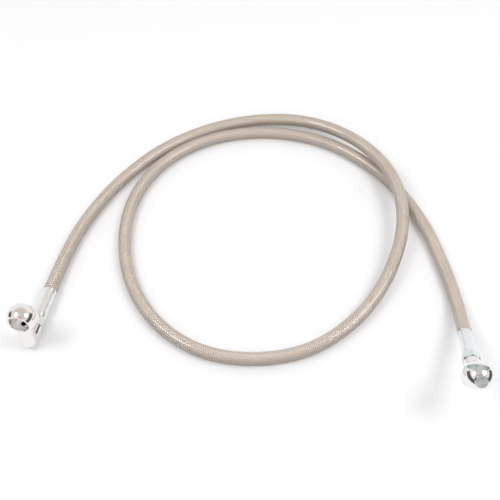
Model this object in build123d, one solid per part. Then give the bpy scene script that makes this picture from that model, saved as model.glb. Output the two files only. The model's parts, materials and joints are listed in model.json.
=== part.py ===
"""Braided hydraulic line: a jacketed hose lying in one loop, with a swivelling banjo eye on each end.

Millimetres, +Z up. The line lies on the plane z = 0, and the origin is under the middle of its end fittings.
Each fitting is drawn along its own axis: local z runs out of the hose from the hose's end, which is z = 0,
and local x is square to that axis, on its upper side. Where one size depends on another, it is worked out.
"""

import math
import os

from build123d import *

# Hose, from the inside out. The layers are separate tubes, a hair apart.
LINER_BORE = 3.3
LINER_WALL = 0.75
BRAID_WALL = 0.5
JACKET_WALL = 0.7
LAYER_GAP = 0.02

# Crimped ferrule
FERRULE_LENGTH = 18.0
FERRULE_WALL = 0.68
FERRULE_END_WALL = 1.6
FERRULE_LIP = 0.25
CRIMP_DEPTH = 0.15
CRIMP_MARGIN = 2.4
CRIMP_SIDES = 8

# Insert: hose tail, six-sided collar and journal in one turned piece
INSERT_BORE = 1.8
BARB_COUNT = 5
BARB_DEPTH = 0.22
TAIL_SETBACK = 2.0
COLLAR_ACROSS_FLATS = 8.0
COLLAR_LENGTH = 4.7
COLLAR_GAP = 0.2
COLLAR_CHAMFER = 0.45
JOURNAL_DIAMETER = 5.4
JOURNAL_LENGTH = 4.7
JOURNAL_CHAMFER = 0.3

# Swivel: seal and clip between the journal and the head's socket
RUNNING_CLEARANCE = 0.05
FACE_GAP = 0.3
SEAL_GROOVE_DEPTH = 0.95
SEAL_GROOVE_WIDTH = 1.5
SEAL_FROM_TIP = 1.25
CLIP_WIRE = 0.8
CLIP_FROM_FACE = 1.3
CLIP_GROOVE_CLEARANCE = 0.1
CLIP_OPEN_ANGLE = 40.0

# Banjo heads
EYE_BORE = 10.2
EYE_THICKNESS = 9.0
EYE_WALL = 2.7
EYE_EDGE_CHAMFER = 0.3
ARM_DIAMETER = 8.0
NECK_DIAMETER_AT_EYE = 8.6
NECK_BLEND = 2.5
PASSAGE_DIAMETER = 2.8
SOCKET_END_ROOM = 0.4
SOCKET_FLOOR = 0.9

# Each head's bend, the distances along its arm and neck, and how far it is swivelled round as it lies
LEFT_NECK_TURN = 95.6
LEFT_CORNER = 31.4
LEFT_NECK_LENGTH = 19.6
LEFT_SWIVEL = 0.0

RIGHT_NECK_TURN = 23.0
RIGHT_CORNER = 29.0
RIGHT_NECK_LENGTH = 9.6
RIGHT_SWIVEL = 4.0

# Plug that closes the drilled passage of the right head
PLUG_HEAD_DIAMETER = 6.1
PLUG_HEAD_HEIGHT = 2.0
PLUG_SEAT_DEPTH = 0.3
PLUG_SEAT_CLEARANCE = 0.05
PLUG_SHANK_GAP = 0.02
PLUG_BORE_SETBACK = 0.3
PLUG_RING_WIDTH = 0.35
PLUG_RING_DEPTH = 0.25

# The hose's route from the left ferrule to the right one: the corners of its straight runs. It leaves the left
# end along the floor, passes over itself in a long low hump at the right, goes round the loop, and comes back
# under the hump to the right end, which rises off the floor.
ROUTE = [
    (-104.5, 35.5, 4.3),
    (-101, 53, 3.8),
    (-93, 83, 3.7),
    (-74, 115, 3.7),
    (-45, 143, 3.7),
    (-6, 161, 3.7),
    (36, 163, 6),
    (70, 143, 13),
    (90, 106, 20),
    (91, 66, 19),
    (73, 27, 9),
    (42, 1, 3.7),
    (9, -7, 3.7),
    (-24, -2, 3.7),
    (-51, 19, 3.7),
    (-67, 53, 3.7),
    (-68, 93, 3.7),
    (-52, 126, 3.7),
    (-22, 147, 3.7),
    (15, 153, 3.7),
    (54, 144, 3.7),
    (86, 117, 3.7),
    (104, 83, 3.7),
    (113, 50, 3.7),
    (116, 23.5, 3.7),
    (114, 4.5, 12.7),
]
ARC_SHARE = 0.45

# Sizes that follow from the ones above
LINER_RADIUS = LINER_BORE / 2 + LINER_WALL
BRAID_BORE_RADIUS = LINER_RADIUS + LAYER_GAP
BRAID_RADIUS = BRAID_BORE_RADIUS + BRAID_WALL
JACKET_BORE_RADIUS = BRAID_RADIUS + LAYER_GAP
JACKET_RADIUS = JACKET_BORE_RADIUS + JACKET_WALL
FERRULE_BORE_RADIUS = BRAID_RADIUS + LAYER_GAP
FERRULE_RADIUS = FERRULE_BORE_RADIUS + FERRULE_WALL
HOSE_END = FERRULE_LENGTH - FERRULE_END_WALL - LAYER_GAP
INSERT_NECK_RADIUS = LINER_RADIUS - LAYER_GAP
TAIL_RADIUS = LINER_BORE / 2 - LAYER_GAP
COLLAR_START = FERRULE_LENGTH + COLLAR_GAP
COLLAR_END = COLLAR_START + COLLAR_LENGTH
JOURNAL_RADIUS = JOURNAL_DIAMETER / 2
JOURNAL_END = COLLAR_END + JOURNAL_LENGTH
SOCKET_RADIUS = JOURNAL_RADIUS + RUNNING_CLEARANCE
SOCKET_FACE = COLLAR_END + FACE_GAP
SEAL_AT = JOURNAL_END - SEAL_FROM_TIP
SEAL_FLOOR_RADIUS = JOURNAL_RADIUS - SEAL_GROOVE_DEPTH
SEAL_INNER_RADIUS = SEAL_FLOOR_RADIUS + LAYER_GAP
SEAL_OUTER_RADIUS = SOCKET_RADIUS - LAYER_GAP
CLIP_AT = SOCKET_FACE + CLIP_FROM_FACE
CLIP_RADIUS = SOCKET_RADIUS
PASSAGE_RADIUS = PASSAGE_DIAMETER / 2
ARM_RADIUS = ARM_DIAMETER / 2
EYE_BORE_RADIUS = EYE_BORE / 2
BALL_RADIUS = EYE_BORE_RADIUS + EYE_WALL
PLUG_SEAT = BALL_RADIUS - PLUG_SEAT_DEPTH
ON_BASE = (Align.CENTER, Align.CENTER, Align.MIN)


def arc_radii(points):
    """One radius for each corner of the route, as large as the shorter run beside it allows."""
    corners = [Vector(*p) for p in points]
    radii = []
    for before, corner, after in zip(corners, corners[1:], corners[2:]):
        run_in = corner - before
        run_out = after - corner
        half_turn = math.radians(run_in.get_angle(run_out)) / 2
        radii.append(ARC_SHARE * min(run_in.length, run_out.length) / math.tan(half_turn))
    return radii


def hose_path(end_reach):
    """The hose's centreline, carried on straight by end_reach past both ends of the route."""
    points = [Vector(*p) for p in ROUTE]
    first = points[0] + (points[0] - points[1]).normalized() * end_reach
    last = points[-1] + (points[-1] - points[-2]).normalized() * end_reach
    return FilletPolyline(first, *points[1:-1], last, radius=arc_radii(ROUTE))


def tube(path, outer_radius, inner_radius):
    """A round tube along a path."""
    start = Plane(origin=path @ 0, z_dir=path % 0)
    section = start * (Circle(outer_radius) - Circle(inner_radius))
    return sweep(section, path=path)


def fitting_plane(end, inner):
    """The frame of the fitting at one end of the route: z out of the hose, x on the upper side."""
    outward = (Vector(*end) - Vector(*inner)).normalized()
    upward = Vector(0, 0, 1) - outward * outward.Z
    return Plane(origin=Vector(*end), x_dir=upward, z_dir=outward)


def turned(*profile):
    """A solid of revolution about local z, from (radius, z) corners."""
    outline = Polyline(*[(r, 0, z) for r, z in profile], close=True)
    return revolve(make_face(outline), axis=Axis.Z)


def ferrule():
    """Crimped socket: a sleeve over the braid, closed at its far end around the insert's neck."""
    sleeve = turned(
        (FERRULE_BORE_RADIUS, 0),
        (FERRULE_RADIUS - FERRULE_LIP, 0),
        (FERRULE_RADIUS, FERRULE_LIP),
        (FERRULE_RADIUS, FERRULE_LENGTH - FERRULE_LIP),
        (FERRULE_RADIUS - FERRULE_LIP, FERRULE_LENGTH),
        (LINER_RADIUS, FERRULE_LENGTH),
        (LINER_RADIUS, FERRULE_LENGTH - FERRULE_END_WALL),
        (FERRULE_BORE_RADIUS, FERRULE_LENGTH - FERRULE_END_WALL),
    )
    crimp_length = FERRULE_LENGTH - 2 * CRIMP_MARGIN
    crimp_radius = FERRULE_RADIUS - CRIMP_DEPTH
    kept = RegularPolygon(radius=crimp_radius, side_count=CRIMP_SIDES, major_radius=False)
    ring = Circle(FERRULE_RADIUS + 1) - kept
    return sleeve - Pos(0, 0, CRIMP_MARGIN) * extrude(ring, amount=crimp_length)


def barbs():
    """The corners of the tail's saw teeth, from the open end to the neck."""
    start = TAIL_SETBACK
    pitch = (HOSE_END - start) / BARB_COUNT
    corners = []
    for tooth in range(BARB_COUNT):
        corners.append((TAIL_RADIUS - BARB_DEPTH, start + tooth * pitch))
        corners.append((TAIL_RADIUS, start + (tooth + 1) * pitch))
    return corners


def insert():
    """Hose tail, neck, six-sided collar and grooved journal, bored through."""
    bore = INSERT_BORE / 2
    seal_low = SEAL_AT - SEAL_GROOVE_WIDTH / 2
    seal_high = SEAL_AT + SEAL_GROOVE_WIDTH / 2
    clip_reach = CLIP_WIRE / 2 + CLIP_GROOVE_CLEARANCE
    clip_floor = CLIP_RADIUS - clip_reach
    spindle = turned(
        (bore, TAIL_SETBACK),
        *barbs(),
        (TAIL_RADIUS, HOSE_END + LAYER_GAP),
        (INSERT_NECK_RADIUS, HOSE_END + LAYER_GAP),
        (INSERT_NECK_RADIUS, COLLAR_END),
        (JOURNAL_RADIUS, COLLAR_END),
        (JOURNAL_RADIUS, CLIP_AT - clip_reach),
        (clip_floor, CLIP_AT - clip_reach),
        (clip_floor, CLIP_AT + clip_reach),
        (JOURNAL_RADIUS, CLIP_AT + clip_reach),
        (JOURNAL_RADIUS, seal_low),
        (SEAL_FLOOR_RADIUS, seal_low),
        (SEAL_FLOOR_RADIUS, seal_high),
        (JOURNAL_RADIUS, seal_high),
        (JOURNAL_RADIUS, JOURNAL_END - JOURNAL_CHAMFER),
        (JOURNAL_RADIUS - JOURNAL_CHAMFER, JOURNAL_END),
        (bore, JOURNAL_END),
    )
    return spindle + collar()


def collar():
    """Six-sided collar with its corners turned off, around the insert's neck."""
    flat = COLLAR_ACROSS_FLATS / 2
    corner = flat / math.cos(math.pi / 6)
    sides = RegularPolygon(radius=flat, side_count=6, major_radius=False)
    prism = Pos(0, 0, COLLAR_START) * extrude(sides, amount=COLLAR_LENGTH)
    blank = turned(
        (INSERT_BORE / 2, COLLAR_START),
        (flat, COLLAR_START),
        (corner, COLLAR_START + COLLAR_CHAMFER),
        (corner, COLLAR_END - COLLAR_CHAMFER),
        (flat, COLLAR_END),
        (INSERT_BORE / 2, COLLAR_END),
    )
    return prism & blank


def swivel_seal():
    """O-ring in the journal's groove."""
    section_radius = (SEAL_OUTER_RADIUS - SEAL_INNER_RADIUS) / 2
    return Pos(0, 0, SEAL_AT) * Torus(SEAL_INNER_RADIUS + section_radius, section_radius)


def swivel_clip():
    """Open ring of round wire, half in the head's groove and half in the journal's."""
    wire = Plane.XZ * Pos(CLIP_RADIUS, CLIP_AT) * Circle(CLIP_WIRE / 2)
    return revolve(wire, axis=Axis.Z, revolution_arc=360 - CLIP_OPEN_ANGLE)


def eye_plane(neck_turn, corner, neck_length):
    """The frame of a head's eye: centred in the bore, x along the neck away from the corner, z along the bore."""
    turn = math.radians(neck_turn)
    along_neck = Vector(math.sin(turn), 0, math.cos(turn))
    along_bore = Vector(-math.cos(turn), 0, math.sin(turn))
    centre = Vector(0, 0, corner) + along_neck * neck_length
    return Plane(origin=centre, x_dir=along_neck, z_dir=along_bore)


def neck_and_ball(neck_length):
    """Neck and ball turned as one about local z, from the corner up, with the neck blended into the ball."""
    at_ball = NECK_DIAMETER_AT_EYE / 2
    corners = [(0, 0), (ARM_RADIUS, 0), (at_ball, neck_length), (0, neck_length)]
    neck = make_face(Polyline(*corners, close=True))
    ball = Pos(0, neck_length) * Circle(BALL_RADIUS)
    one_side = Rectangle(2 * neck_length, 4 * neck_length, align=(Align.MIN, Align.CENTER))
    outline = (neck + ball) & one_side
    meeting = [v for v in outline.vertices() if v.X > ARM_RADIUS and v.Y < neck_length]
    blended = fillet(meeting, NECK_BLEND)
    return revolve(Plane.XZ * blended, axis=Axis.Z)


def eye_faces():
    """What is cut off the ball to leave its two flat faces, in the eye's own frame."""
    half = EYE_THICKNESS / 2
    wide = 2 * (BALL_RADIUS + NECK_BLEND)
    cap = Pos(0, 0, half) * Box(wide, wide, BALL_RADIUS, align=ON_BASE)
    return cap + Rot(180, 0, 0) * cap


def eye_bore():
    """What is cut through the eye: the bolt's hole with a small chamfer at each face."""
    half = EYE_THICKNESS / 2
    wide = EYE_BORE_RADIUS + EYE_EDGE_CHAMFER
    return turned(
        (0, -half - 1),
        (wide + 1, -half - 1),
        (wide, -half),
        (EYE_BORE_RADIUS, -half + EYE_EDGE_CHAMFER),
        (EYE_BORE_RADIUS, half - EYE_EDGE_CHAMFER),
        (wide, half),
        (wide + 1, half + 1),
        (0, half + 1),
    )


def socket_cut(corner):
    """The journal's socket, the clip's groove and the passage on to the corner."""
    socket_end = JOURNAL_END + SOCKET_END_ROOM
    groove_radius = CLIP_RADIUS + CLIP_WIRE / 2 + LAYER_GAP
    groove_half = CLIP_WIRE / 2 + LAYER_GAP
    return turned(
        (0, SOCKET_FACE - 1),
        (SOCKET_RADIUS, SOCKET_FACE - 1),
        (SOCKET_RADIUS, CLIP_AT - groove_half),
        (groove_radius, CLIP_AT - groove_half),
        (groove_radius, CLIP_AT + groove_half),
        (SOCKET_RADIUS, CLIP_AT + groove_half),
        (SOCKET_RADIUS, socket_end),
        (PASSAGE_RADIUS, socket_end + SOCKET_FLOOR),
        (PASSAGE_RADIUS, corner),
        (0, corner),
    )


def banjo_head(neck_turn, corner, neck_length):
    """One forged head: socket arm, rounded corner, neck and ball-shaped eye, with its passage."""
    eye = eye_plane(neck_turn, corner, neck_length)
    neck_base = Plane(origin=(0, 0, corner), z_dir=eye.x_dir)
    arm = Pos(0, 0, SOCKET_FACE) * Cylinder(ARM_RADIUS, corner - SOCKET_FACE, align=ON_BASE)
    knee = Pos(0, 0, corner) * Sphere(ARM_RADIUS)
    passage = neck_base * Cylinder(PASSAGE_RADIUS, neck_length, align=ON_BASE)
    solid = arm + knee + neck_base * neck_and_ball(neck_length)
    faced = solid - eye * eye_faces()
    return faced - socket_cut(corner) - passage - eye * eye_bore()


def plug_seat():
    """What is cut from the right eye for the plug, in the eye's frame: a hole and a flat seat on the ball."""
    out = Plane(origin=(0, 0, 0), z_dir=(1, 0, 0))
    hole = Cylinder(PASSAGE_RADIUS, BALL_RADIUS, align=ON_BASE)
    seat_radius = PLUG_HEAD_DIAMETER / 2 + PLUG_SEAT_CLEARANCE
    seat = Pos(0, 0, PLUG_SEAT) * Cylinder(seat_radius, BALL_RADIUS, align=ON_BASE)
    return out * (hole + seat)


def passage_plug():
    """Turned plug in the eye's frame: a shank in the passage and a ringed head on the seat."""
    shank = PASSAGE_RADIUS - PLUG_SHANK_GAP
    head = PLUG_HEAD_DIAMETER / 2
    low = PLUG_SEAT
    high = PLUG_SEAT + PLUG_HEAD_HEIGHT
    ring_inner = head - 2 * PLUG_RING_WIDTH
    ring_low = high - PLUG_RING_DEPTH
    profile = turned(
        (0, EYE_BORE_RADIUS + PLUG_BORE_SETBACK),
        (shank, EYE_BORE_RADIUS + PLUG_BORE_SETBACK),
        (shank, low),
        (head, low),
        (head, high - PLUG_RING_DEPTH),
        (head - PLUG_RING_DEPTH, high),
        (ring_inner, high),
        (ring_inner, ring_low),
        (ring_inner - PLUG_RING_WIDTH, ring_low),
        (ring_inner - PLUG_RING_WIDTH, high),
        (0, high),
    )
    return Plane(origin=(0, 0, 0), z_dir=(1, 0, 0)) * profile


def hose_nodes():
    """The three layers of the hose. The jacket stops at the ferrules, and the other two go on inside them."""
    jacket_path = hose_path(0)
    inner_path = hose_path(HOSE_END)
    return {
        "hose_liner": tube(inner_path, LINER_RADIUS, LINER_BORE / 2),
        "wire_braid": tube(inner_path, BRAID_RADIUS, BRAID_BORE_RADIUS),
        "clear_jacket": tube(jacket_path, JACKET_RADIUS, JACKET_BORE_RADIUS),
    }


def head_plane(place, swivel):
    """The frame of a head: its fitting's own, turned about the axis by the swivel."""
    return Plane(Location(place) * Rot(0, 0, swivel))


def fitting_nodes(side, place, head_place, neck_turn, corner, neck_length):
    """The pieces that both ends have."""
    return {
        f"{side}_ferrule": place * ferrule(),
        f"{side}_insert": place * insert(),
        f"{side}_swivel_seal": place * swivel_seal(),
        f"{side}_swivel_clip": place * swivel_clip(),
        f"{side}_banjo_head": head_place * banjo_head(neck_turn, corner, neck_length),
    }


def all_nodes():
    """Every piece of the line by name, in place."""
    left = fitting_plane(ROUTE[0], ROUTE[1])
    right = fitting_plane(ROUTE[-1], ROUTE[-2])
    left_head = head_plane(left, LEFT_SWIVEL)
    right_head = head_plane(right, RIGHT_SWIVEL)
    right_eye = right_head * Location(eye_plane(RIGHT_NECK_TURN, RIGHT_CORNER, RIGHT_NECK_LENGTH))
    nodes = hose_nodes()
    nodes |= fitting_nodes("left", left, left_head, LEFT_NECK_TURN, LEFT_CORNER, LEFT_NECK_LENGTH)
    nodes |= fitting_nodes("right", right, right_head, RIGHT_NECK_TURN, RIGHT_CORNER, RIGHT_NECK_LENGTH)
    nodes["right_banjo_head"] -= right_eye * plug_seat()
    nodes["right_passage_plug"] = right_eye * passage_plug()
    return nodes


def describe_place(name, plane):
    """Print where a frame sits and which way its z points."""
    print(name, "at", [round(v, 4) for v in plane.origin], "along", [round(v, 6) for v in plane.z_dir])


def main():
    """Build every piece, write one STEP file for each, and print what the route and the eyes measure."""
    os.makedirs("parts", exist_ok=True)
    for name, shape in all_nodes().items():
        export_step(shape, f"parts/{name}.step")
        print(name, "volume", round(shape.volume, 1))
    print("radii", [round(r) for r in arc_radii(ROUTE)])
    path_length = hose_path(0).length
    ring_area = math.pi * (JACKET_RADIUS**2 - JACKET_BORE_RADIUS**2)
    print("hose length", round(path_length, 1), "section times length", round(ring_area * path_length, 1))
    for side, end, inner, swivel, turn, corner, length in (
        ("left", ROUTE[0], ROUTE[1], LEFT_SWIVEL, LEFT_NECK_TURN, LEFT_CORNER, LEFT_NECK_LENGTH),
        ("right", ROUTE[-1], ROUTE[-2], RIGHT_SWIVEL, RIGHT_NECK_TURN, RIGHT_CORNER, RIGHT_NECK_LENGTH),
    ):
        place = fitting_plane(end, inner)
        describe_place(f"{side} fitting", place)
        eye = Location(head_plane(place, swivel)) * Location(eye_plane(turn, corner, length))
        describe_place(f"{side} eye", Plane(eye))


if __name__ == "__main__":
    main()
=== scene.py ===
"""Braided hydraulic line: the looks of a jacketed hose with a swivelling banjo eye on each end.

Metres, +Z up, in the frame of the CAD model. The hose's layers follow one smooth route; the crimped
ferrules, inserts, heads, plug, seals and clips keep the shapes of their CAD nodes.
"""

import json
import logging
import math
from collections.abc import Mapping, Sequence
from dataclasses import dataclass, field
from enum import Enum

import bmesh
import bpy
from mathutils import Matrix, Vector

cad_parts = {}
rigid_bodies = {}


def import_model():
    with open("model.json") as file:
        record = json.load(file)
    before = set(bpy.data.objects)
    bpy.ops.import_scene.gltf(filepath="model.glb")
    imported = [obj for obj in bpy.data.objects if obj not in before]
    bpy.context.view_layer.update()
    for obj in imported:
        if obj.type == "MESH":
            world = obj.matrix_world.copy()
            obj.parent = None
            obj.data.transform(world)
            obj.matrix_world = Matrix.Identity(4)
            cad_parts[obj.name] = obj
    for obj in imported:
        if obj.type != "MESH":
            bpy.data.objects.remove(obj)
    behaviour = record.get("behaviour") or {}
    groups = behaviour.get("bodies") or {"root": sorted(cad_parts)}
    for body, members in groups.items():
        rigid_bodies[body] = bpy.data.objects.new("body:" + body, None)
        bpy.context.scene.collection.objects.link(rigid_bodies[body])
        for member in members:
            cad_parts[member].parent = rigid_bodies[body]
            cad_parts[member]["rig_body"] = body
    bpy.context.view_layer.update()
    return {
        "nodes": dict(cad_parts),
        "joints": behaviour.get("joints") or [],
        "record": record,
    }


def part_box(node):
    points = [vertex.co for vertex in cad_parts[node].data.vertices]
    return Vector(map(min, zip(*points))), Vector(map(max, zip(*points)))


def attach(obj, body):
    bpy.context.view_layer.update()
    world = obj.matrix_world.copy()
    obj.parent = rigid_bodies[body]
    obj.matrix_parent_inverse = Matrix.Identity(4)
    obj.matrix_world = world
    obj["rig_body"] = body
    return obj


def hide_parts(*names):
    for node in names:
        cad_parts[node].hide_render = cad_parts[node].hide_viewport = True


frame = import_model()

MM = 0.001
log = logging.getLogger("line")


class End(Enum):
    """The two ends of the line."""

    LEFT = "left"
    RIGHT = "right"


class Lay(Enum):
    """Which way a braid's strand winds round the hose."""

    RIGHT_HAND = 1
    LEFT_HAND = -1


class Marks(Enum):
    """How the tool's marks lie on a turned face: bands along the axis, or rings round it."""

    ALONG = "BANDS"
    ROUND = "RINGS"


def linear(hex_colour: str) -> tuple[float, float, float, float]:
    """Turn an sRGB hex colour into the linear colour that a shader takes.

    Args:
        hex_colour: six hex digits, with or without a leading #.

    Returns:
        Red, green, blue and an alpha of 1.
    """
    digits = hex_colour.lstrip("#")
    channels = [int(digits[i : i + 2], 16) / 255 for i in (0, 2, 4)]
    # The two parts of the sRGB curve: a straight start, then a power of 2.4.
    red, green, blue = (c / 12.92 if c <= 0.04045 else ((c + 0.055) / 1.055) ** 2.4 for c in channels)
    return (red, green, blue, 1.0)


def add_node(
    tree: bpy.types.NodeTree,
    kind: str,
    inputs: Mapping[str | int, object] | None = None,
    **settings: object,
) -> bpy.types.Node:
    """Add a node to a tree, with its settings, values and links.

    Args:
        tree: the shader or geometry tree.
        kind: the node's type name.
        inputs: by socket name or number, a value, or the output socket to link from.
        **settings: the node's own properties.

    Returns:
        The new node.
    """
    node = tree.nodes.new(kind)
    for name, value in settings.items():
        setattr(node, name, value)
    for key, value in (inputs or {}).items():
        socket = node.inputs[key]
        if isinstance(value, bpy.types.NodeSocket):
            tree.links.new(value, socket)
        else:
            socket.default_value = value
    return node


def new_material(name: str) -> tuple[bpy.types.Material, bpy.types.NodeTree]:
    """Make an empty node material.

    Args:
        name: the material's name.

    Returns:
        The material and its node tree.
    """
    material = bpy.data.materials.new(name)
    material.use_nodes = True
    material.node_tree.nodes.clear()
    return material, material.node_tree


def new_object(name: str, data: bpy.types.ID) -> bpy.types.Object:
    """Link a new object with this data into the scene.

    Args:
        name: the object's name.
        data: its mesh, curve, light or camera.

    Returns:
        The object, at the origin.
    """
    piece = bpy.data.objects.new(name, data)
    bpy.context.scene.collection.objects.link(piece)
    return piece


# ---------------------------------------------------------------------------------------------- finishes

# Every finish gives its sizes in millimetres, and a relief as its strength and its depth.

# Most of a noise's values lie between these two.
NOISE_SPAN = {"From Min": 0.3, "From Max": 0.7}
STRAND_MAP = "UVMap"
RIDGE = "ridge"


def scale_of(size: float) -> float:
    """Give the scale that draws marks of this size, in millimetres, on coordinates in metres."""
    return 1 / (size * MM)


def uneven_shader(
    tree: bpy.types.NodeTree,
    gloss: bpy.types.NodeSocket,
    roughness: float,
    spread: tuple[float, float],
    height: bpy.types.NodeSocket,
    relief: tuple[float, float],
    look: Mapping[str, object],
    span: Mapping[str, float] = NOISE_SPAN,
) -> bpy.types.NodeSocket:
    """Make a surface whose gloss wanders with one pattern and whose relief follows another.

    Args:
        tree: the material's tree.
        gloss: the pattern that the roughness follows.
        roughness: the finish's roughness.
        spread: what the pattern's low and high ends add to it.
        height: the pattern of the relief.
        relief: its strength, and its depth in millimetres.
        look: the shader's other inputs.
        span: the pattern's low and high ends.

    Returns:
        The shader.
    """
    low, high = (roughness + change for change in spread)
    rough = add_node(tree, "ShaderNodeMapRange", {"Value": gloss, **span, "To Min": low, "To Max": high})
    strength, depth = relief
    bump = add_node(
        tree, "ShaderNodeBump", {"Height": height, "Strength": strength, "Distance": depth * MM}
    )
    inputs = {**look, "Roughness": rough.outputs[0], "Normal": bump.outputs[0]}
    return add_node(tree, "ShaderNodeBsdfPrincipled", inputs).outputs[0]


@dataclass(frozen=True)
class BraidedStainlessWire:
    """Drawn stainless wire under a film of primer: pale satin metal, fine grooves along each flat bundle.

    The film's mottle is drawn coarser than it is, so that it shows. Each strand is also painted darker at
    its edges and where it dips under a crossing strand, and lighter on its crown where it lies on top:
    painted shade between the strands.
    """

    colour: str = "#F8F1EB"
    painted_shade_and_mottle_colour: str = "#8E847A"
    metallic: float = 0.5
    roughness: float = 0.36
    roughness_spread: tuple[float, float] = (-0.05, 0.07)
    wire_spacing: float = 0.17
    grooves: tuple[float, float] = (0.45, 0.05)
    mottle_size: float = 2.857
    mottle_share: float = 0.5
    lowest_tone: float = 0.25
    ridge_share: float = 0.75
    ridge_span: tuple[float, float] = (0.15, 0.85)

    def material(self) -> bpy.types.Material:
        """Make the wire's material. U runs along the strand and V across it, both in millimetres."""
        material, tree = new_material("braided_stainless_wire")
        strand = add_node(tree, "ShaderNodeUVMap", uv_map=STRAND_MAP).outputs["UV"]
        split = add_node(tree, "ShaderNodeSeparateXYZ", {0: strand})
        turns = add_node(
            tree,
            "ShaderNodeMath",
            {0: split.outputs["Y"], 1: 2 * math.pi / self.wire_spacing},
            operation="MULTIPLY",
        )
        wires = add_node(tree, "ShaderNodeMath", {0: turns.outputs[0]}, operation="COSINE")
        height = add_node(
            tree, "ShaderNodeMath", {0: wires.outputs[0], 1: 0.5, 2: 0.5}, operation="MULTIPLY_ADD"
        )
        mottle = add_node(
            tree, "ShaderNodeTexNoise", {"Vector": strand, "Scale": 1 / self.mottle_size, "Detail": 3.0}
        )
        tone = add_node(
            tree,
            "ShaderNodeMath",
            {0: mottle.outputs[0], 1: self.mottle_share, 2: self.lowest_tone},
            operation="MULTIPLY_ADD",
        )
        # Painted shade between the strands: the ridge from the plait lightens each strand's crown where it
        # lies on top, and leaves its edges and its dips under crossing strands darker.
        ridge = add_node(tree, "ShaderNodeAttribute", attribute_name=RIDGE)
        low, high = self.ridge_span
        raised = add_node(
            tree, "ShaderNodeMapRange", {"Value": ridge.outputs["Fac"], "From Min": low, "From Max": high}
        )
        painted_light_and_mottle = add_node(
            tree,
            "ShaderNodeMath",
            {0: raised.outputs[0], 1: self.ridge_share, 2: tone.outputs[0]},
            operation="MULTIPLY_ADD",
            use_clamp=True,
        )
        colour = add_node(
            tree,
            "ShaderNodeMix",
            {0: painted_light_and_mottle.outputs[0], 6: linear(self.painted_shade_and_mottle_colour), 7: linear(self.colour)},
            data_type="RGBA",
        )
        metal = uneven_shader(
            tree,
            mottle.outputs[0],
            self.roughness,
            self.roughness_spread,
            height.outputs[0],
            self.grooves,
            {"Base Color": colour.outputs[2], "Metallic": self.metallic},
        )
        add_node(tree, "ShaderNodeOutputMaterial", {"Surface": metal})
        return material


@dataclass(frozen=True)
class ClearExtrudedPvc:
    """Clear flexible PVC, extruded over the braid: glossy, slightly smoky, and it magnifies what it covers.

    Its skin has the slow waves of extrusion, and its inner side a haze where it is fused to the braid.
    """

    colour: str = "#FBF9F6"
    clearest: str = "#FFFFFF"
    roughness: float = 0.05
    roughness_spread: tuple[float, float] = (-0.02, 0.05)
    ior: float = 1.53
    wave_size: float = 7.143
    waves: tuple[float, float] = (0.05, 0.3)
    haze_size: float = 3.333

    def material(self) -> bpy.types.Material:
        """Make the jacket's material. Lamps pass straight through it, so the braid under it is lit."""
        material, tree = new_material("clear_extruded_pvc")
        place = add_node(tree, "ShaderNodeTexCoord").outputs["Object"]
        waviness = add_node(
            tree, "ShaderNodeTexNoise", {"Vector": place, "Scale": scale_of(self.wave_size), "Detail": 2.0}
        )
        glass = uneven_shader(
            tree,
            waviness.outputs[0],
            self.roughness,
            self.roughness_spread,
            waviness.outputs[0],
            self.waves,
            {"Base Color": linear(self.colour), "IOR": self.ior, "Transmission Weight": 1.0},
        )
        open_to_lamps = add_node(tree, "ShaderNodeBsdfTransparent", {"Color": linear(self.colour)})
        ray = add_node(tree, "ShaderNodeLightPath")
        mix = add_node(
            tree,
            "ShaderNodeMixShader",
            {0: ray.outputs["Is Shadow Ray"], 1: glass, 2: open_to_lamps.outputs[0]},
        )
        add_node(tree, "ShaderNodeOutputMaterial", {"Surface": mix.outputs[0]})
        return material

    def bonded_material(self) -> bpy.types.Material:
        """Make the material of the inner side, which is fused to the braid and so doesn't bend light."""
        material, tree = new_material("clear_extruded_pvc_bonded")
        place = add_node(tree, "ShaderNodeTexCoord").outputs["Object"]
        haze = add_node(
            tree, "ShaderNodeTexNoise", {"Vector": place, "Scale": scale_of(self.haze_size), "Detail": 1.0}
        )
        tint = add_node(
            tree,
            "ShaderNodeMix",
            {0: haze.outputs[0], 6: linear(self.clearest), 7: linear(self.colour)},
            data_type="RGBA",
        )
        clear = add_node(tree, "ShaderNodeBsdfTransparent", {"Color": tint.outputs[2]})
        add_node(tree, "ShaderNodeOutputMaterial", {"Surface": clear.outputs[0]})
        return material


@dataclass(frozen=True)
class ExtrudedPtfe:
    """Milky white PTFE, extruded: waxy and cloudy, with soft highlights."""

    colour: str = "#E9E7E0"
    cloud_colour: str = "#D8D5CC"
    roughness: float = 0.42
    ior: float = 1.35
    cloud_size: float = 2.5
    wax_depth: float = 0.05
    wax_strength: float = 0.1

    def material(self) -> bpy.types.Material:
        """Make the liner's material."""
        material, tree = new_material("extruded_ptfe")
        place = add_node(tree, "ShaderNodeTexCoord").outputs["Object"]
        cloud = add_node(
            tree, "ShaderNodeTexNoise", {"Vector": place, "Scale": scale_of(self.cloud_size), "Detail": 2.0}
        )
        colour = add_node(
            tree,
            "ShaderNodeMix",
            {0: cloud.outputs[0], 6: linear(self.colour), 7: linear(self.cloud_colour)},
            data_type="RGBA",
        )
        wax = add_node(
            tree,
            "ShaderNodeBump",
            {"Height": cloud.outputs[0], "Strength": self.wax_strength, "Distance": self.wax_depth * MM},
        )
        body = add_node(
            tree,
            "ShaderNodeBsdfPrincipled",
            {
                "Base Color": colour.outputs[2],
                "Roughness": self.roughness,
                "IOR": self.ior,
                "Normal": wax.outputs[0],
            },
        )
        add_node(tree, "ShaderNodeOutputMaterial", {"Surface": body.outputs[0]})
        return material


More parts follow.
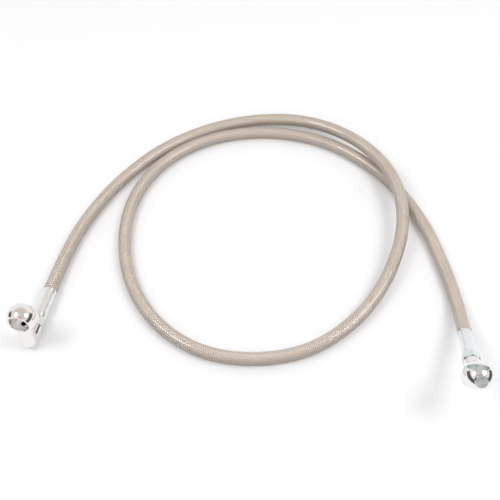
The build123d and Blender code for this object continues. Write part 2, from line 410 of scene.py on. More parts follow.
@dataclass(frozen=True)
class ZincPlatedSteel:
    """Turned steel, zinc plated and clear passivated: satin metal, a cool cast and faint turning lines.

    The plating's crystals are drawn far coarser than they are, so that they show.
    """

    name: str
    colour: str
    tint: str
    roughness: float
    centre: tuple[float, float, float]
    axis: tuple[float, float, float]
    marks: Marks = Marks.ALONG
    line_spacing: float = 0.22
    relief: float = 0.12
    relief_depth: float = 0.03
    line_waver: float = 0.4
    line_share: float = 0.5
    crystal_size: float = 1.4286
    stain_size: float = 5.556
    roughness_spread: tuple[float, float] = (-0.06, 0.08)

    def material(self) -> bpy.types.Material:
        """Make the plating's material, with the tool's marks set out on the piece's own axis."""
        material, tree = new_material(self.name)
        place = add_node(tree, "ShaderNodeTexCoord").outputs["Object"]
        local = add_node(
            tree,
            "ShaderNodeMapping",
            {
                "Vector": place,
                "Location": self.centre,
                "Rotation": tuple(Vector(self.axis).to_track_quat("Z", "X").to_euler()),
            },
            vector_type="TEXTURE",
        )
        # A wave's scale of 1 gives it a length of pi / 10.
        lines = add_node(
            tree,
            "ShaderNodeTexWave",
            {
                "Vector": local.outputs[0],
                "Scale": scale_of(self.line_spacing) * math.pi / 10,
                "Distortion": self.line_waver,
                "Detail": 1.0,
            },
            wave_type=self.marks.value,
            bands_direction="Z",
            rings_direction="Z",
        )
        crystals = add_node(
            tree,
            "ShaderNodeTexNoise",
            {"Vector": place, "Scale": scale_of(self.crystal_size), "Detail": 4.0},
        )
        stain = add_node(
            tree, "ShaderNodeTexNoise", {"Vector": place, "Scale": scale_of(self.stain_size), "Detail": 2.0}
        )
        colour = add_node(
            tree,
            "ShaderNodeMix",
            {0: stain.outputs[0], 6: linear(self.colour), 7: linear(self.tint)},
            data_type="RGBA",
        )
        fine = add_node(
            tree,
            "ShaderNodeMath",
            {0: lines.outputs[1], 1: self.line_share, 2: crystals.outputs[0]},
            operation="MULTIPLY_ADD",
        )
        metal = uneven_shader(
            tree,
            crystals.outputs[0],
            self.roughness,
            self.roughness_spread,
            fine.outputs[0],
            (self.relief, self.relief_depth),
            {"Base Color": colour.outputs[2], "Metallic": 1.0},
        )
        add_node(tree, "ShaderNodeOutputMaterial", {"Surface": metal})
        return material


@dataclass(frozen=True)
class PolishedPlate:
    """Forged steel, polished and bright plated: mirror clear, with a faint haze and hairlines.

    The polishing hairlines are drawn coarser than they are, so that they show.
    """

    name: str
    colour: str
    roughness: float
    haze_colour: str = "#F2F0EE"
    haze_size: float = 3.846
    haze_span: tuple[float, float] = (0.35, 0.75)
    roughness_spread: tuple[float, float] = (0.0, 0.08)
    hairline_size: float = 0.5556
    hairline_waver: float = 3.0
    hairlines: tuple[float, float] = (0.04, 0.02)

    def material(self) -> bpy.types.Material:
        """Make the bright plating's material."""
        material, tree = new_material(self.name)
        place = add_node(tree, "ShaderNodeTexCoord").outputs["Object"]
        haze = add_node(
            tree, "ShaderNodeTexNoise", {"Vector": place, "Scale": scale_of(self.haze_size), "Detail": 3.0}
        )
        hairlines = add_node(
            tree,
            "ShaderNodeTexNoise",
            {
                "Vector": place,
                "Scale": scale_of(self.hairline_size),
                "Detail": 1.0,
                "Distortion": self.hairline_waver,
            },
        )
        colour = add_node(
            tree,
            "ShaderNodeMix",
            {0: haze.outputs[0], 6: linear(self.colour), 7: linear(self.haze_colour)},
            data_type="RGBA",
        )
        metal = uneven_shader(
            tree,
            haze.outputs[0],
            self.roughness,
            self.roughness_spread,
            hairlines.outputs[0],
            self.hairlines,
            {"Base Color": colour.outputs[2], "Metallic": 1.0},
            dict(zip(NOISE_SPAN, self.haze_span)),
        )
        add_node(tree, "ShaderNodeOutputMaterial", {"Surface": metal})
        return material


@dataclass(frozen=True)
class MouldedRubber:
    """Moulded nitrile rubber: near black, dull, with a bloom that is drawn coarser than it is."""

    colour: str = "#1C1C1D"
    roughness: float = 0.6
    roughness_spread: tuple[float, float] = (-0.1, 0.15)
    bloom_size: float = 1.111
    bloom_span: tuple[float, float] = (0.0, 1.0)
    bloom: tuple[float, float] = (0.2, 0.02)

    def material(self) -> bpy.types.Material:
        """Make the seal's material."""
        material, tree = new_material("moulded_nitrile_rubber")
        place = add_node(tree, "ShaderNodeTexCoord").outputs["Object"]
        bloom = add_node(
            tree, "ShaderNodeTexNoise", {"Vector": place, "Scale": scale_of(self.bloom_size), "Detail": 3.0}
        )
        body = uneven_shader(
            tree,
            bloom.outputs[0],
            self.roughness,
            self.roughness_spread,
            bloom.outputs[0],
            self.bloom,
            {"Base Color": linear(self.colour)},
            dict(zip(NOISE_SPAN, self.bloom_span)),
        )
        add_node(tree, "ShaderNodeOutputMaterial", {"Surface": body})
        return material


@dataclass(frozen=True)
class MattWhiteCard:
    """Uncoated white card, pressed: flat white, no gloss, with a faint tooth, drawn coarse."""

    colour: str = "#F5F5F6"
    roughness: float = 0.75
    tooth_size: float = 1.111
    tooth_depth: float = 1.0
    tooth_strength: float = 0.05

    def material(self) -> bpy.types.Material:
        """Make the table's material."""
        material, tree = new_material("matt_white_card")
        place = add_node(tree, "ShaderNodeTexCoord").outputs["Object"]
        tooth = add_node(
            tree, "ShaderNodeTexNoise", {"Vector": place, "Scale": scale_of(self.tooth_size), "Detail": 2.0}
        )
        bump = add_node(
            tree,
            "ShaderNodeBump",
            {
                "Height": tooth.outputs[0],
                "Strength": self.tooth_strength,
                "Distance": self.tooth_depth * MM,
            },
        )
        card = add_node(
            tree,
            "ShaderNodeBsdfPrincipled",
            {"Base Color": linear(self.colour), "Roughness": self.roughness, "Normal": bump.outputs[0]},
        )
        add_node(tree, "ShaderNodeOutputMaterial", {"Surface": card.outputs[0]})
        return material


# ---------------------------------------------------------------------------------------------- studio


@dataclass
class StudioCamera:
    """The camera: over the loop's near side, looking down at the middle of the loop. Tilt in degrees."""

    place: tuple[float, float, float] = (0.004, -0.1775, 0.359)
    tilt: float = 34.0
    lens: float = 54.72
    sensor: float = 36.0
    nearest: float = 0.01
    furthest: float = 20.0

    def build(self) -> bpy.types.Object:
        """Make the camera and set it as the scene's."""
        data = bpy.data.cameras.new("camera")
        data.lens = self.lens
        data.sensor_width = self.sensor
        data.clip_start = self.nearest
        data.clip_end = self.furthest
        camera = new_object("camera", data)
        camera.location = self.place
        camera.rotation_euler = (math.radians(self.tilt), 0.0, 0.0)
        bpy.context.scene.camera = camera
        return camera


@dataclass
class Softbox:
    """One round softbox."""

    name: str
    place: tuple[float, float, float]
    aim: tuple[float, float, float] = (0.0, 0.06, 0.0)
    side: float = 0.30
    watts: float = 1.35
    colour: str = "#FFFFFF"

    def build(self) -> bpy.types.Object:
        """Make the light and point it."""
        data = bpy.data.lights.new(self.name, "AREA")
        data.shape = "DISK"
        data.size = self.side
        data.energy = self.watts
        data.color = linear(self.colour)[:3]
        lamp = new_object(self.name, data)
        lamp.location = self.place
        way = Vector(self.aim) - Vector(self.place)
        lamp.rotation_euler = way.to_track_quat("-Z", "Y").to_euler()
        return lamp


@dataclass
class Studio:
    """Pale table, a round lamp on each side, and a pale room with a dim low band round its front and sides.

    The room is drawn on the unit direction from the object. Each pair is where a change starts and ends.
    """

    table_side: float = 6.0
    ceiling: str = "#D8CDC7"
    horizon: str = "#FBFBFB"
    band_colour: str = "#5E5B5B"
    fill_colour: str = "#FFFFFF"
    backdrop_colour: str = "#FCFCFC"
    ceiling_edge: tuple[float, float] = (0.45, 0.8)
    band_top: tuple[float, float] = (0.47, 0.38)
    band_back: tuple[float, float] = (0.50, 0.34)
    operator: tuple[float, float, float] = (0.0, -0.66, 0.75)
    operator_edge: tuple[float, float] = (0.955, 0.985)
    room_strength: float = 1.0
    fill_strength: float = 0.79
    boxes: tuple[Softbox, ...] = (
        Softbox("panel_left", (-0.42, -0.05, 0.66)),
        Softbox("panel_right", (0.44, -0.02, 0.62)),
    )

    def build(self) -> None:
        """Make the room's light, the table and the softboxes."""
        scene = bpy.context.scene
        scene.view_settings.view_transform = "Standard"
        self._room(scene)
        self._table()
        for box in self.boxes:
            box.build()

    def _table(self) -> None:
        """Make the table top."""
        half = self.table_side / 2
        mesh = bpy.data.meshes.new("table")
        corners = [(-half, -half, 0.0), (half, -half, 0.0), (half, half, 0.0), (-half, half, 0.0)]
        mesh.from_pydata(corners, [], [(0, 1, 2, 3)])
        mesh.materials.append(MattWhiteCard().material())
        new_object("table", mesh)

    def _room(self, scene: bpy.types.Scene) -> None:
        """Light the room: an even fill for matt surfaces, and the room's own pattern for shiny ones.

        Args:
            scene: the scene that gets the world.
        """
        world = bpy.data.worlds.new("room")
        world.use_nodes = True
        scene.world = world
        tree = world.node_tree
        tree.nodes.clear()
        lights = (
            (self._room_pattern(tree), self.room_strength),
            (linear(self.fill_colour), self.fill_strength),
            (linear(self.backdrop_colour), 1.0),
        )
        room, fill, backdrop = (
            add_node(tree, "ShaderNodeBackground", {"Color": colour, "Strength": strength}).outputs[0]
            for colour, strength in lights
        )
        ray = add_node(tree, "ShaderNodeLightPath").outputs
        indoors = add_node(tree, "ShaderNodeMixShader", {0: ray["Is Diffuse Ray"], 1: room, 2: fill})
        mix = add_node(
            tree, "ShaderNodeMixShader", {0: ray["Is Camera Ray"], 1: indoors.outputs[0], 2: backdrop}
        )
        add_node(tree, "ShaderNodeOutputWorld", {"Surface": mix.outputs[0]})

    def _room_pattern(self, tree: bpy.types.NodeTree) -> bpy.types.NodeSocket:
        """Colour the room by direction: pale walls, warm overhead, dim low in front and where one stands.

        Args:
            tree: the world's tree.

        Returns:
            The colour.
        """
        way = add_node(tree, "ShaderNodeTexCoord").outputs["Generated"]
        split = add_node(tree, "ShaderNodeSeparateXYZ", {0: way}).outputs
        facing = add_node(tree, "ShaderNodeVectorMath", {0: way, 1: self.operator}, operation="DOT_PRODUCT")
        edges = (
            (split["Z"], self.ceiling_edge),
            (split["Z"], self.band_top),
            (split["Y"], self.band_back),
            (facing.outputs["Value"], self.operator_edge),
        )
        overhead, low, forward, standing = (
            add_node(
                tree, "ShaderNodeMapRange", {"Value": value, "From Min": start, "From Max": end}
            ).outputs[0]
            for value, (start, end) in edges
        )
        band = add_node(tree, "ShaderNodeMath", {0: low, 1: forward}, operation="MULTIPLY").outputs[0]
        colour = linear(self.horizon)
        for share, other in (
            (overhead, self.ceiling),
            (band, self.band_colour),
            (standing, self.band_colour),
        ):
            layer = add_node(
                tree, "ShaderNodeMix", {0: share, 6: colour, 7: linear(other)}, data_type="RGBA"
            )
            colour = layer.outputs[2]
        return colour


# ---------------------------------------------------------------------------------------------- hose


@dataclass
class HoseRoute:
    """The way the hose lies, as the control points of one smooth line, in metres.

    It leaves the left ferrule along the table, passes over itself at the right, goes round the loop, and
    comes back under the crossing to the right ferrule, which stands off the table.
    """

    points: tuple[tuple[float, float, float], ...] = (
        (-0.1045, 0.0355, 0.0043),
        (-0.101, 0.053, 0.0038),
        (-0.092, 0.0825, 0.0037),
        (-0.073, 0.1145, 0.0037),
        (-0.045, 0.143, 0.0037),
        (-0.006, 0.161, 0.0037),
        (0.0355, 0.1615, 0.006),
        (0.0685, 0.1425, 0.01),
        (0.09, 0.111, 0.012),
        (0.092, 0.071, 0.012),
        (0.0735, 0.029, 0.0055),
        (0.042, 0.001, 0.0037),
        (0.009, -0.007, 0.0037),
        (-0.024, -0.002, 0.0037),
        (-0.051, 0.019, 0.0037),
        (-0.067, 0.053, 0.0037),
        (-0.068, 0.093, 0.0037),
        (-0.052, 0.126, 0.0037),
        (-0.022, 0.147, 0.0037),
        (0.015, 0.153, 0.0037),
        (0.054, 0.144, 0.0037),
        (0.086, 0.117, 0.0037),
        (0.104, 0.083, 0.0037),
        (0.112, 0.05, 0.0037),
        (0.116, 0.0235, 0.0037),
        (0.114, 0.0045, 0.0127),
    )
    length: float = 0.8995
    resolution: int = 18

    def read(self) -> list[Vector]:
        """Read points along the smooth line.

        Returns:
            The points, from the left ferrule's mouth to the right one's.
        """
        curve = bpy.data.curves.new("hose_route", "CURVE")
        curve.dimensions = "3D"
        spline = curve.splines.new("NURBS")
        spline.points.add(len(self.points) - 1)
        for point, place in zip(spline.points, self.points):
            point.co = (*place, 1.0)
        spline.order_u = 3
        spline.use_endpoint_u = True
        spline.resolution_u = self.resolution
        line = new_object("hose_route", curve)
        bpy.context.view_layer.update()
        mesh = bpy.data.meshes.new_from_object(line)
        points = [v.co.copy() for v in mesh.vertices]
        bpy.data.objects.remove(line)
        bpy.data.curves.remove(curve)
        bpy.data.meshes.remove(mesh)
        return points


@dataclass
class NodeTool:
    """A geometry tree with named inputs, put on a bare line to make one finished mesh."""

    name: str
    tree: bpy.types.NodeTree = field(init=False)
    start: bpy.types.Node = field(init=False)

    def __post_init__(self) -> None:
        """Start the tree with its geometry sockets."""
        self.tree = bpy.data.node_groups.new(self.name, "GeometryNodeTree")
        self.tree.interface.new_socket("Geometry", in_out="INPUT", socket_type="NodeSocketGeometry")
        self.tree.interface.new_socket("Geometry", in_out="OUTPUT", socket_type="NodeSocketGeometry")

    def add_input(self, name: str, kind: str) -> None:
        """Add one named input."""
        self.tree.interface.new_socket(name, in_out="INPUT", socket_type=f"NodeSocket{kind}")

    def begin(self) -> bpy.types.Node:
        """Add the node that gives the inputs, once they are all named."""
        self.start = add_node(self.tree, "NodeGroupInput")
        return self.start

    def end(self, geometry: bpy.types.NodeSocket) -> None:
        """End the tree with Realize Instances and Set Material.

        Args:
            geometry: what the tree has made.
        """
        plain = add_node(self.tree, "GeometryNodeRealizeInstances", {"Geometry": geometry})
        dressed = add_node(
            self.tree,
            "GeometryNodeSetMaterial",
            {"Geometry": plain.outputs[0], "Material": self.start.outputs["Material"]},
        )
        out = add_node(self.tree, "NodeGroupOutput")
        self.tree.links.new(dressed.outputs[0], out.inputs[0])

    def make(self, name: str, points: Sequence[Vector], values: Mapping[str, object]) -> bpy.types.Object:
        """Run the tree on a bare line and keep the result as a plain mesh.

        Args:
            name: the piece's name.
            points: the line.
            values: the tree's inputs by name.

        Returns:
            The finished piece, with no modifier.
        """
        line = bpy.data.meshes.new(f"{name}_line")
        line.from_pydata(points, [(i, i + 1) for i in range(len(points) - 1)], [])
        carrier = new_object(f"{name}_carrier", line)
        modifier = carrier.modifiers.new("make", "NODES")
        modifier.node_group = self.tree
        for item in self.tree.interface.items_tree:
            if item.in_out == "INPUT" and item.name in values:
                modifier[item.identifier] = values[item.name]
        bpy.context.view_layer.update()
        shown = carrier.evaluated_get(bpy.context.evaluated_depsgraph_get())
        mesh = bpy.data.meshes.new_from_object(shown)
        carrier.modifiers.remove(modifier)
        bpy.data.objects.remove(carrier)
        bpy.data.meshes.remove(line)
        mesh.name = name
        return new_object(name, mesh)


# A five-sided section of radius 1 is 1.9 across, so this share of a size makes it about that size across.
SECTION_SHARE = 0.525
# Strands of one lay are this many crossings apart round the hose.
CROSSINGS_APART = 2.0
# Each strand's strip of the map lies this far above the last one's, in millimetres.
STRIP_STEP = 3.0
FULL_TURN = 2 * math.pi
# The plait's sums, in order: a name, the operation, and what it works on.
PLAIT_SUMS = (
    # How many crossings the hose has, as a whole number, and the lead that gives it.
    ("crossings a lead", "MULTIPLY", "Strands", CROSSINGS_APART),
    ("length in crossings", "MULTIPLY", "length", "crossings a lead"),
    ("crossings wanted", "DIVIDE", "length in crossings", "Lead"),
    ("steps", "ROUND", "crossings wanted"),
    ("points", "ADD", "steps", 1.0),
    ("lead", "DIVIDE", "length in crossings", "steps"),
    # Where a point of the straight strand is: along it, across it and out from its middle.
    ("along", "MULTIPLY", "flat x", "length"),
    ("half width", "MULTIPLY", "Strand Width", SECTION_SHARE),
    ("across", "MULTIPLY", "flat y", "half width"),
    ("half thickness", "MULTIPLY", "Strand Thickness", SECTION_SHARE),
    ("outward", "MULTIPLY", "flat z", "half thickness"),
    # The slant of a strand turns its width partly back along the hose and partly round it.
    ("girth", "MULTIPLY", "Middle Radius", FULL_TURN),
    ("slope", "DIVIDE", "girth", "lead"),
    ("slant", "ARCTANGENT", "slope"),
    ("slant sine", "SINE", "slant"),
    ("slant cosine", "COSINE", "slant"),
    ("width back", "MULTIPLY", "across", "slant sine"),
    ("back", "MULTIPLY", "width back", "Lay"),
    ("width round", "MULTIPLY", "across", "slant cosine"),
    ("round by", "DIVIDE", "width round", "Middle Radius"),
    # How far along the hose and round it the point comes.
    ("leads", "DIVIDE", "along", "lead"),
    ("leads turned", "MULTIPLY", "leads", FULL_TURN),
    ("winding", "MULTIPLY", "leads turned", "Lay"),
    ("strand share", "DIVIDE", "number", "Strands"),
    ("first angle", "MULTIPLY", "strand share", FULL_TURN),
    ("wound to", "ADD", "winding", "first angle"),
    ("angle", "SUBTRACT", "wound to", "round by"),
    ("distance", "ADD", "along", "back"),
    # Two crossings over and two under: a cosine of four crossings, highest half-way between two.
    ("crossings times lead", "MULTIPLY", "along", "crossings a lead"),
    ("crossing", "DIVIDE", "crossings times lead", "lead"),
    ("crossing by lay", "MULTIPLY", "crossing", "Lay"),
    ("crossings apart", "MULTIPLY", "number", CROSSINGS_APART),
    ("place in plait", "ADD", "crossing by lay", "crossings apart"),
    ("turn", "SUBTRACT", "place in plait", 0.5),
    ("turn angle", "MULTIPLY", "turn", FULL_TURN / 4),
    ("turn cosine", "COSINE", "turn angle"),
    ("wave", "MULTIPLY", "turn cosine", "Lay"),
    ("rise", "MULTIPLY", "wave", "Lift"),
    ("strand radius", "ADD", "Middle Radius", "rise"),
    ("radius", "ADD", "strand radius", "outward"),
    ("angle cosine", "COSINE", "angle"),
    ("out", "MULTIPLY", "radius", "angle cosine"),
    ("angle sine", "SINE", "angle"),
    ("aside", "MULTIPLY", "radius", "angle sine"),
    # The map in millimetres, and how near a point is to the crown of a strand that lies on top, which sets
    # the wire's painted shade between the strands.
    ("map u", "MULTIPLY", "along", 1 / MM),
    ("map across", "MULTIPLY", "across", 1 / MM),
    ("strip start", "MULTIPLY", "number", STRIP_STEP),
    ("map v", "ADD", "map across", "strip start"),
    ("wave from 0", "ADD", "wave", 1.0),
    ("raised", "MULTIPLY", "wave from 0", 0.5),
    ("off middle", "ABSOLUTE", "flat y"),
    ("off middle squared", "POWER", "off middle", 2.0),
    ("crown", "SUBTRACT", 1.0, "off middle squared"),
    ("ridge", "MULTIPLY", "raised", "crown"),
)


def braid_tool() -> NodeTool:
    """Build the tree that plaits flat strands of one lay round a line, two over and two under.

    Each strand is drawn straight along X with its width on Y and its thickness on Z, then wound: distance
    along the hose is X, the winding angle follows it, and the height rises and falls by which crossing it
    is at.

    Returns:
        The tree, with its inputs in metres.
    """
    tool = NodeTool("plait")
    counts = ("Strands", "Lay")
    sizes = ("Lead", "Middle Radius", "Lift", "Strand Width", "Strand Thickness")
    for name in counts:
        tool.add_input(name, "Int")
    for name in sizes:
        tool.add_input(name, "Float")
    tool.add_input("Material", "Material")
    given = tool.begin().outputs
    tree = tool.tree

    centre = add_node(tree, "GeometryNodeMeshToCurve", {"Mesh": given["Geometry"]})
    length = add_node(tree, "GeometryNodeCurveLength", {"Curve": centre.outputs[0]})
    position = add_node(tree, "GeometryNodeInputPosition")
    flat = add_node(tree, "ShaderNodeSeparateXYZ", {0: position.outputs[0]}).outputs
    number = add_node(tree, "GeometryNodeInputNamedAttribute", {"Name": "strand"}, data_type="FLOAT")
    known = {name: given[name] for name in (*counts, *sizes)}
    known |= {"flat x": flat["X"], "flat y": flat["Y"], "flat z": flat["Z"]}
    known |= {"length": length.outputs[0], "number": number.outputs[0]}
    for name, operation, *terms in PLAIT_SUMS:
        values = {i: known[term] if isinstance(term, str) else term for i, term in enumerate(terms)}
        known[name] = add_node(tree, "ShaderNodeMath", values, operation=operation).outputs[0]

    strip = add_node(tree, "GeometryNodeCurvePrimitiveLine", {"Start": (0, 0, 0), "End": (1, 0, 0)})
    stepped = add_node(
        tree, "GeometryNodeResampleCurve", {"Curve": strip.outputs[0], "Count": known["points"]}
    )
    section = add_node(
        tree, "GeometryNodeCurvePrimitiveCircle", {"Resolution": 5, "Radius": 1.0}, mode="RADIUS"
    )
    solid = add_node(
        tree,
        "GeometryNodeCurveToMesh",
        {"Curve": stepped.outputs[0], "Profile Curve": section.outputs[0], "Fill Caps": True},
    )
    starts = add_node(tree, "GeometryNodePoints", {"Count": given["Strands"]})
    index = add_node(tree, "GeometryNodeInputIndex")
    numbered = add_node(
        tree,
        "GeometryNodeStoreNamedAttribute",
        {"Geometry": starts.outputs[0], "Name": "strand", "Value": index.outputs[0]},
        data_type="FLOAT",
        domain="POINT",
    )
    copies = add_node(
        tree, "GeometryNodeInstanceOnPoints", {"Points": numbered.outputs[0], "Instance": solid.outputs[0]}
    )
    strands = add_node(tree, "GeometryNodeRealizeInstances", {"Geometry": copies.outputs[0]})

    there = add_node(
        tree,
        "GeometryNodeSampleCurve",
        {"Curves": centre.outputs[0], "Length": known["distance"]},
        mode="LENGTH",
        use_all_curves=True,
    ).outputs
    side = add_node(
        tree, "ShaderNodeVectorMath", {0: there["Tangent"], 1: there["Normal"]}, operation="CROSS_PRODUCT"
    )
    moves = [
        add_node(tree, "ShaderNodeVectorMath", {0: way, "Scale": known[size]}, operation="SCALE").outputs[0]
        for way, size in ((there["Normal"], "out"), (side.outputs[0], "aside"))
    ]
    both = add_node(tree, "ShaderNodeVectorMath", dict(enumerate(moves)), operation="ADD")
    place = add_node(
        tree, "ShaderNodeVectorMath", {0: there["Position"], 1: both.outputs[0]}, operation="ADD"
    )

    map_place = add_node(tree, "ShaderNodeCombineXYZ", {"X": known["map u"], "Y": known["map v"]})
    dressed = strands.outputs[0]
    for name, kind, domain, value in (
        (RIDGE, "FLOAT", "POINT", known["ridge"]),
        (STRAND_MAP, "FLOAT2", "CORNER", map_place.outputs[0]),
    ):
        stored = add_node(
            tree,
            "GeometryNodeStoreNamedAttribute",
            {"Geometry": dressed, "Name": name, "Value": value},
            data_type=kind,
            domain=domain,
        )
        dressed = stored.outputs[0]
    wound = add_node(tree, "GeometryNodeSetPosition", {"Geometry": dressed, "Position": place.outputs[0]})
    smooth = add_node(tree, "GeometryNodeSetShadeSmooth", {"Geometry": wound.outputs[0]})
    tool.end(smooth.outputs[0])
    return tool


def tube_tool() -> NodeTool:
    """Build the tree that draws a round skin along a line. Solidify gives it its wall.

    Returns:
        The tree, with its inputs in metres.
    """
    tool = NodeTool("skin")
    tool.add_input("Radius", "Float")
    tool.add_input("Sides", "Int")
    tool.add_input("Material", "Material")
    given = tool.begin().outputs
    tree = tool.tree
    centre = add_node(tree, "GeometryNodeMeshToCurve", {"Mesh": given["Geometry"]})
    section = add_node(
        tree,
        "GeometryNodeCurvePrimitiveCircle",
        {"Resolution": given["Sides"], "Radius": given["Radius"]},
        mode="RADIUS",
    )
    skin = add_node(
        tree, "GeometryNodeCurveToMesh", {"Curve": centre.outputs[0], "Profile Curve": section.outputs[0]}
    )
    smooth = add_node(tree, "GeometryNodeSetShadeSmooth", {"Geometry": skin.outputs[0]})
    tool.end(smooth.outputs[0])
    return tool


@dataclass
class Hose:
    """The hose: a clear jacket over a plaited wire braid over a plain liner, all along one route."""

    route: HoseRoute = field(default_factory=HoseRoute)
    jacket_radius: float = 3.64 * MM
    jacket_wall: float = 0.70 * MM
    braid_radius: float = 2.92 * MM
    braid_bore_radius: float = 2.42 * MM
    liner_radius: float = 2.40 * MM
    liner_wall: float = 0.75 * MM
    reach: float = 16.3 * MM
    strands: int = 12
    lead: float = 15.8 * MM
    strand_width: float = 0.90 * MM
    strand_thickness: float = 0.22 * MM
    sides: int = 40

    def build(self) -> None:
        path = self.route.read()
        inner = self._reaching(path)
        tube = tube_tool()
        pvc = ClearExtrudedPvc()
        jacket = self._tube(
            tube,
            "hose_jacket",
            path,
            self.jacket_radius,
            self.jacket_wall,
            pvc.material(),
            pvc.bonded_material(),
        )
        liner = self._tube(
            tube, "hose_liner_tube", inner, self.liner_radius, self.liner_wall, ExtrudedPtfe().material()
        )
        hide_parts("clear_jacket")
        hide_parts("hose_liner")
        plait = braid_tool()
        wire = BraidedStainlessWire().material()
        braids = [self._braid(plait, inner, lay, wire) for lay in Lay]
        for piece in (jacket, liner, *braids):
            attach(piece, "hose")
            log.info("%s: %d faces", piece.name, len(piece.data.polygons))

    def _reaching(self, path: Sequence[Vector]) -> list[Vector]:
        """Carry the line on straight at both ends, into the ferrules.

        Args:
            path: the line between the ferrules' mouths.

        Returns:
            The longer line.
        """
        first = path[0] + (path[0] - path[1]).normalized() * self.reach
        last = path[-1] + (path[-1] - path[-2]).normalized() * self.reach
        return [first, *path, last]

    def _tube(
        self,
        tool: NodeTool,
        name: str,
        path: Sequence[Vector],
        radius: float,
        wall: float,
        material: bpy.types.Material,
        inner_material: bpy.types.Material | None = None,
    ) -> bpy.types.Object:
        """Make one round tube with its wall inside the given radius.

        Args:
            tool: the tree that draws the skin.
            name: the piece's name.
            path: its centreline.
            radius: its outer radius.
            wall: its wall.
            material: its material.
            inner_material: the material of its inner side and ends, where that differs.

        Returns:
            The tube, closed at both ends.
        """
        skin = tool.make(name, path, {"Radius": radius, "Sides": self.sides, "Material": material})
        if inner_material is not None:
            skin.data.materials.append(inner_material)
        give_wall(skin, wall)
        return skin

    def _braid(
        self, tool: NodeTool, path: Sequence[Vector], lay: Lay, wire: bpy.types.Material
    ) -> bpy.types.Object:
        """Make every strand of one lay.

        Args:
            tool: the tree that plaits.
            path: the hose's centreline.
            lay: which way the strands wind.
            wire: their material.

        Returns:
            The strands as one piece.
        """
        lift = (self.braid_radius - self.braid_bore_radius - self.strand_thickness) / 2
        piece = tool.make(
            f"wire_braid_{lay.name.lower()}",
            path,
            {
                "Strands": self.strands,
                "Lay": lay.value,
                "Lead": self.lead,
                "Middle Radius": (self.braid_radius + self.braid_bore_radius) / 2,
                "Lift": lift,
                "Strand Width": self.strand_width,
                "Strand Thickness": self.strand_thickness,
                "Material": wire,
            },
        )
        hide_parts("wire_braid")
        return piece


def give_wall(piece: bpy.types.Object, wall: float) -> None:
    """Turn an open skin into a closed wall inside it, as part of its mesh.

    The wall's inner side and rims take the skin's last material.

    Args:
        piece: the skin, with its faces pointing outwards.
        wall: the wall's thickness in metres.
    """
    last_material = len(piece.data.materials) - 1
    modifier = piece.modifiers.new("wall", "SOLIDIFY")
    modifier.thickness = wall
    modifier.offset = -1.0
    modifier.use_rim = True
    modifier.material_offset = last_material
    modifier.material_offset_rim = last_material
    bpy.context.view_layer.update()
    shown = piece.evaluated_get(bpy.context.evaluated_depsgraph_get())
    solid = bpy.data.meshes.new_from_object(shown)
    piece.modifiers.remove(modifier)
    bare = piece.data
    piece.data = solid
    bpy.data.meshes.remove(bare)
    solid.name = piece.name


# ---------------------------------------------------------------------------------------------- fittings


@dataclass(frozen=True)
class Mount:
    """A place and an axis on the line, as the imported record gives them."""

    centre: tuple[float, float, float]
    axis: tuple[float, float, float]
    radius: float = 0.0

    @classmethod
    def named(cls, name: str) -> "Mount":
        """Find a bore among the record's mounts."""
        found = next(m for m in frame["record"]["mounts"] if m["name"] == name)
        return cls(tuple(found["pos_m"]), tuple(found["axis"]), found["dims"]["r_mm"] * MM)

    @classmethod
    def of_joint(cls, name: str) -> "Mount":
        """Find a joint's place and axis."""
        found = next(j for j in frame["joints"] if j["name"] == name)
        return cls(tuple(found["pos_m"]), tuple(found["axis"]))


# The angle between faces, in degrees, from which an edge of a copied node is sharp.
CREASE = 27.0
# Corners of the CAD's loose triangles nearer than this are one corner, and shorter edges are dropped.
MERGE = 0.002 * MM
SHORTEST_EDGE = 0.001 * MM


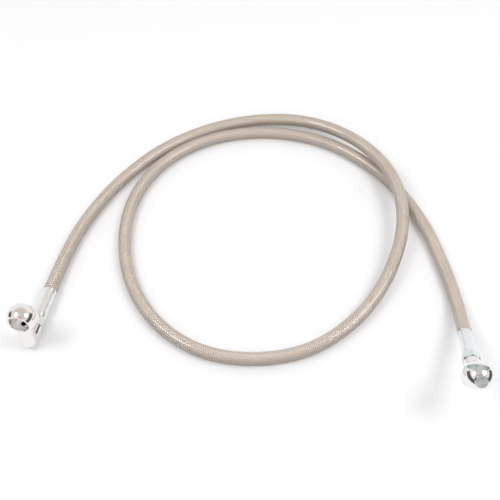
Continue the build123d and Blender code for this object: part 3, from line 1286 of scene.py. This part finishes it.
@dataclass
class Fitting:
    """One end of the line: ferrule, insert with its six-sided collar, swivelling head, seal and clip.

    Line spacing is in millimetres and creases in degrees.
    """

    end: End
    ferrule_colours: tuple[str, str]
    insert_colours: tuple[str, str]
    head_colour: str
    bore_colours: tuple[str, str]
    head_slot: str
    clip_colours: tuple[str, str] = ("#9A968F", "#77736D")
    ferrule_roughness: float = 0.33
    insert_roughness: float = 0.22
    clip_roughness: float = 0.28
    bore_roughness: float = 0.3
    head_roughness: float = 0.04
    ferrule_line_spacing: float = 0.6
    ferrule_crease: float = 12.0
    clip_crease: float = 40.0
    head_crease: float = 14.0
    chamfer_reach: float = 0.5 * MM
    end_face_turn: float = 0.9

    def build(self) -> None:
        """Dress this end's CAD nodes."""
        side = self.end.value
        line = Mount.of_joint(f"{side}_swivel")
        bore = Mount.named(f"{side}_eye_bore")
        sleeve = ZincPlatedSteel(
            f"{side}_ferrule_zinc",
            *self.ferrule_colours,
            self.ferrule_roughness,
            line.centre,
            line.axis,
            line_spacing=self.ferrule_line_spacing,
        )
        insert = ZincPlatedSteel(
            f"{side}_insert_zinc", *self.insert_colours, self.insert_roughness, line.centre, line.axis
        )
        spring = ZincPlatedSteel(
            f"{side}_spring_wire", *self.clip_colours, self.clip_roughness, line.centre, line.axis
        )
        bored = ZincPlatedSteel(
            f"{side}_machined_bore", *self.bore_colours, self.bore_roughness, bore.centre, bore.axis
        )
        plate = PolishedPlate(f"{side}_head_bright_plate", self.head_colour, self.head_roughness)
        smooth_copy(f"{side}_ferrule", sleeve.material(), self.ferrule_crease)
        smooth_copy(f"{side}_insert", insert.material())
        smooth_copy(f"{side}_swivel_seal", MouldedRubber().material())
        smooth_copy(f"{side}_swivel_clip", spring.material(), self.clip_crease)
        head = smooth_copy(f"{side}_banjo_head", plate.material(), self.head_crease)
        self._dress_bore(head, bore, bored.material())

    def _dress_bore(self, head: bpy.types.Object, bore: Mount, material: bpy.types.Material) -> None:
        """Give the eye's bored wall and its chamfers their own machined finish.

        Args:
            head: the head's piece.
            bore: the eye's bore.
            material: the finish.
        """
        head.data.materials.append(material)
        centre, axis = Vector(bore.centre), Vector(bore.axis).normalized()
        for face in head.data.polygons:
            arm = face.center - centre
            depth = arm.dot(axis)
            inside = (arm - axis * depth).length < bore.radius + self.chamfer_reach
            if inside and abs(depth) < bore.radius and abs(face.normal.dot(axis)) < self.end_face_turn:
                face.material_index = 1


@dataclass
class PassagePlug:
    """The round stub that closes the right head's passage, turned in coarse rings. Millimetres."""

    colours: tuple[str, str] = ("#E2E6E9", "#B4BABF")
    roughness: float = 0.2
    ring_spacing: float = 1.1
    relief: float = 0.9

    def build(self) -> None:
        """Dress the plug's CAD node, with its rings round the line from the eye out to the plug."""
        eye = Mount.named("right_eye_bore")
        way_out = (box_middle("right_passage_plug") - Vector(eye.centre)).normalized()
        finish = ZincPlatedSteel(
            "plug_zinc",
            *self.colours,
            self.roughness,
            eye.centre,
            tuple(way_out),
            Marks.ROUND,
            self.ring_spacing,
            self.relief,
        )
        smooth_copy("right_passage_plug", finish.material())


def smooth_copy(
    node: str, material: bpy.types.Material, crease: float = CREASE
) -> bpy.types.Object:
    """Stand a merged, smooth-shaded copy of a CAD node in for it, with sharp edges kept sharp.

    Args:
        node: the CAD node's name.
        material: the copy's material.
        crease: the angle between faces, in degrees, from which an edge is sharp.

    Returns:
        The copy, riding on the node's body.
    """
    source = frame["nodes"][node]
    mesh = source.data.copy()
    mesh.name = f"{node}_finish"
    shape = bmesh.new()
    shape.from_mesh(mesh)
    bmesh.ops.remove_doubles(shape, verts=shape.verts, dist=MERGE)
    bmesh.ops.dissolve_degenerate(shape, dist=SHORTEST_EDGE, edges=shape.edges)
    sharp = math.radians(crease)
    for edge in shape.edges:
        edge.smooth = len(edge.link_faces) == 2 and edge.calc_face_angle(0.0) < sharp
    for face in shape.faces:
        face.smooth = True
    shape.to_mesh(mesh)
    shape.free()
    mesh.materials.clear()
    mesh.materials.append(material)
    piece = new_object(f"{node}_finish", mesh)
    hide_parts(node)
    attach(piece, source["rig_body"])
    log.info("%s: %d faces", piece.name, len(mesh.polygons))
    return piece


def box_middle(node: str) -> Vector:
    """Find the middle of a CAD node's box."""
    low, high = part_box(node)
    return (low + high) / 2


def main() -> None:
    """Build the camera, the hose, the fittings, the plug and the studio, in that order."""
    logging.basicConfig(level=logging.INFO, format="%(message)s")
    StudioCamera().build()
    Hose().build()
    Fitting(
        end=End.LEFT,
        ferrule_colours=("#F7F9F7", "#E9EEEB"),
        insert_colours=("#F3F4F2", "#DDDFDC"),
        head_colour="#EFEAE7",
        bore_colours=("#F1EFED", "#E2E0DE"),
        head_slot="bright_plate",
    ).build()
    Fitting(
        end=End.RIGHT,
        ferrule_colours=("#F5F8FA", "#E6ECF0"),
        insert_colours=("#EEF5F4", "#D3DEDD"),
        head_colour="#EAEFEE",
        bore_colours=("#F8FBFA", "#F0F6F3"),
        head_slot="bright_zinc",
    ).build()
    PassagePlug().build()
    Studio().build()


if __name__ == "__main__":
    main()
